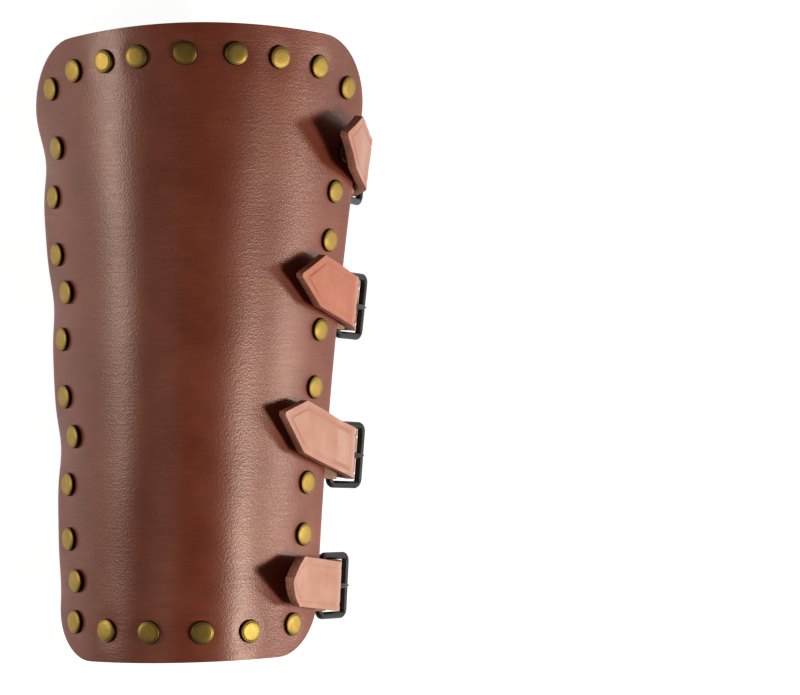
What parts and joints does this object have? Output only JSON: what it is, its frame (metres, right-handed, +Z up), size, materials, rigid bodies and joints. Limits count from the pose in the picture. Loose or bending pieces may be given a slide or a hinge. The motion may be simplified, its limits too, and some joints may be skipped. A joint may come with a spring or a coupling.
{
  "type": "leather bracer",
  "caption": "Curved, tapered leather forearm guard with a border of brass rivets, closed at the back with buckled straps.",
  "frame": {"origin": "middle of the overall box in X and Y, on the table under the backs of the straps", "axes": "+Y along the arm from the wrist end to the elbow end, +Z up out of the crown of the shell, +X across the arm to the buckles"},
  "size_m": [0.1362, 0.2532, 0.0888],
  "materials": {
    "body_leather": "waxed, satin, fine wrinkle grain",
    "strap_leather": "vegetable tan, matt, raw cut edges",
    "antique_brass": "antiqued, satin",
    "black_buckle_metal": "black, semi-gloss, worn on the edges"
  },
  "bodies": {
    "bracer": {"shell": "body_leather", "strap_1": "strap_leather", "strap_2": "strap_leather", "strap_3": "strap_leather", "strap_4": "strap_leather", "buckle_loop_1": "strap_leather", "buckle_loop_2": "strap_leather", "buckle_loop_3": "strap_leather", "buckle_loop_4": "strap_leather", "elbow_row_caps": "antique_brass", "elbow_row_posts": "antique_brass", "wrist_row_caps": "antique_brass", "wrist_row_posts": "antique_brass", "left_row_caps": "antique_brass", "left_row_posts": "antique_brass", "right_row_caps": "antique_brass", "right_row_posts": "antique_brass", "strap_rivet_caps": "antique_brass", "strap_rivet_posts": "antique_brass", "loop_rivet_caps": "antique_brass", "loop_rivet_posts": "antique_brass"},
    "strap_tip_1": {"strap_tip_1": "strap_leather"},
    "buckle_frame_1": {"buckle_frame_1": "black_buckle_metal"},
    "buckle_tongue_1": {"buckle_tongue_1": "black_buckle_metal"},
    "strap_tip_2": {"strap_tip_2": "strap_leather"},
    "buckle_frame_2": {"buckle_frame_2": "black_buckle_metal"},
    "buckle_tongue_2": {"buckle_tongue_2": "black_buckle_metal"},
    "strap_tip_3": {"strap_tip_3": "strap_leather"},
    "buckle_frame_3": {"buckle_frame_3": "black_buckle_metal"},
    "buckle_tongue_3": {"buckle_tongue_3": "black_buckle_metal"},
    "strap_tip_4": {"strap_tip_4": "strap_leather"},
    "buckle_frame_4": {"buckle_frame_4": "black_buckle_metal"},
    "buckle_tongue_4": {"buckle_tongue_4": "black_buckle_metal"}
  },
  "joints": [
    {"name": "strap_tip_1_lift", "type": "hinge", "parent": "bracer", "child": "strap_tip_1", "pos_m": [0.06535, 0.07481, 0.03987], "axis": [0.1271, 0.9919, 0], "range_deg": [0, 45]},
    {"name": "buckle_frame_1_swing", "type": "hinge", "parent": "bracer", "child": "buckle_frame_1", "pos_m": [0.05974, 0.07131, 0.02801], "axis": [-0.1271, -0.9919, 0], "range_deg": [0, 6]},
    {"name": "buckle_tongue_1_lift", "type": "hinge", "parent": "buckle_frame_1", "child": "buckle_tongue_1", "pos_m": [0.05974, 0.07131, 0.02801], "axis": [-0.1271, -0.9919, 0], "range_deg": [0, 6]},
    {"name": "strap_tip_2_lift", "type": "hinge", "parent": "bracer", "child": "strap_tip_2", "pos_m": [0.05836, 0.01911, 0.04045], "axis": [0.1015, 0.9948, 0], "range_deg": [0, 45]},
    {"name": "buckle_frame_2_swing", "type": "hinge", "parent": "bracer", "child": "buckle_frame_2", "pos_m": [0.0557, 0.01621, 0.02774], "axis": [-0.1015, -0.9948, 0], "range_deg": [0, 6]},
    {"name": "buckle_tongue_2_lift", "type": "hinge", "parent": "buckle_frame_2", "child": "buckle_tongue_2", "pos_m": [0.0557, 0.01621, 0.02774], "axis": [-0.1015, -0.9948, 0], "range_deg": [0, 6]},
    {"name": "strap_tip_3_lift", "type": "hinge", "parent": "bracer", "child": "strap_tip_3", "pos_m": [0.05341, -0.04002, 0.04154], "axis": [0.0729, 0.9973, 0], "range_deg": [0, 45]},
    {"name": "buckle_frame_3_swing", "type": "hinge", "parent": "bracer", "child": "buckle_frame_3", "pos_m": [0.05226, -0.04473, 0.02791], "axis": [-0.0729, -0.9973, 0], "range_deg": [0, 6]},
    {"name": "buckle_tongue_3_lift", "type": "hinge", "parent": "buckle_frame_3", "child": "buckle_tongue_3", "pos_m": [0.05226, -0.04473, 0.02791], "axis": [-0.0729, -0.9973, 0], "range_deg": [0, 6]},
    {"name": "strap_tip_4_lift", "type": "hinge", "parent": "bracer", "child": "strap_tip_4", "pos_m": [0.05008, -0.097, 0.041], "axis": [0.0475, 0.9989, 0], "range_deg": [0, 45]},
    {"name": "buckle_frame_4_swing", "type": "hinge", "parent": "bracer", "child": "buckle_frame_4", "pos_m": [0.04769, -0.09843, 0.02775], "axis": [-0.0475, -0.9989, 0], "range_deg": [0, 6]},
    {"name": "buckle_tongue_4_lift", "type": "hinge", "parent": "buckle_frame_4", "child": "buckle_tongue_4", "pos_m": [0.04769, -0.09843, 0.02775], "axis": [-0.0475, -0.9989, 0], "range_deg": [0, 6]}
  ]
}
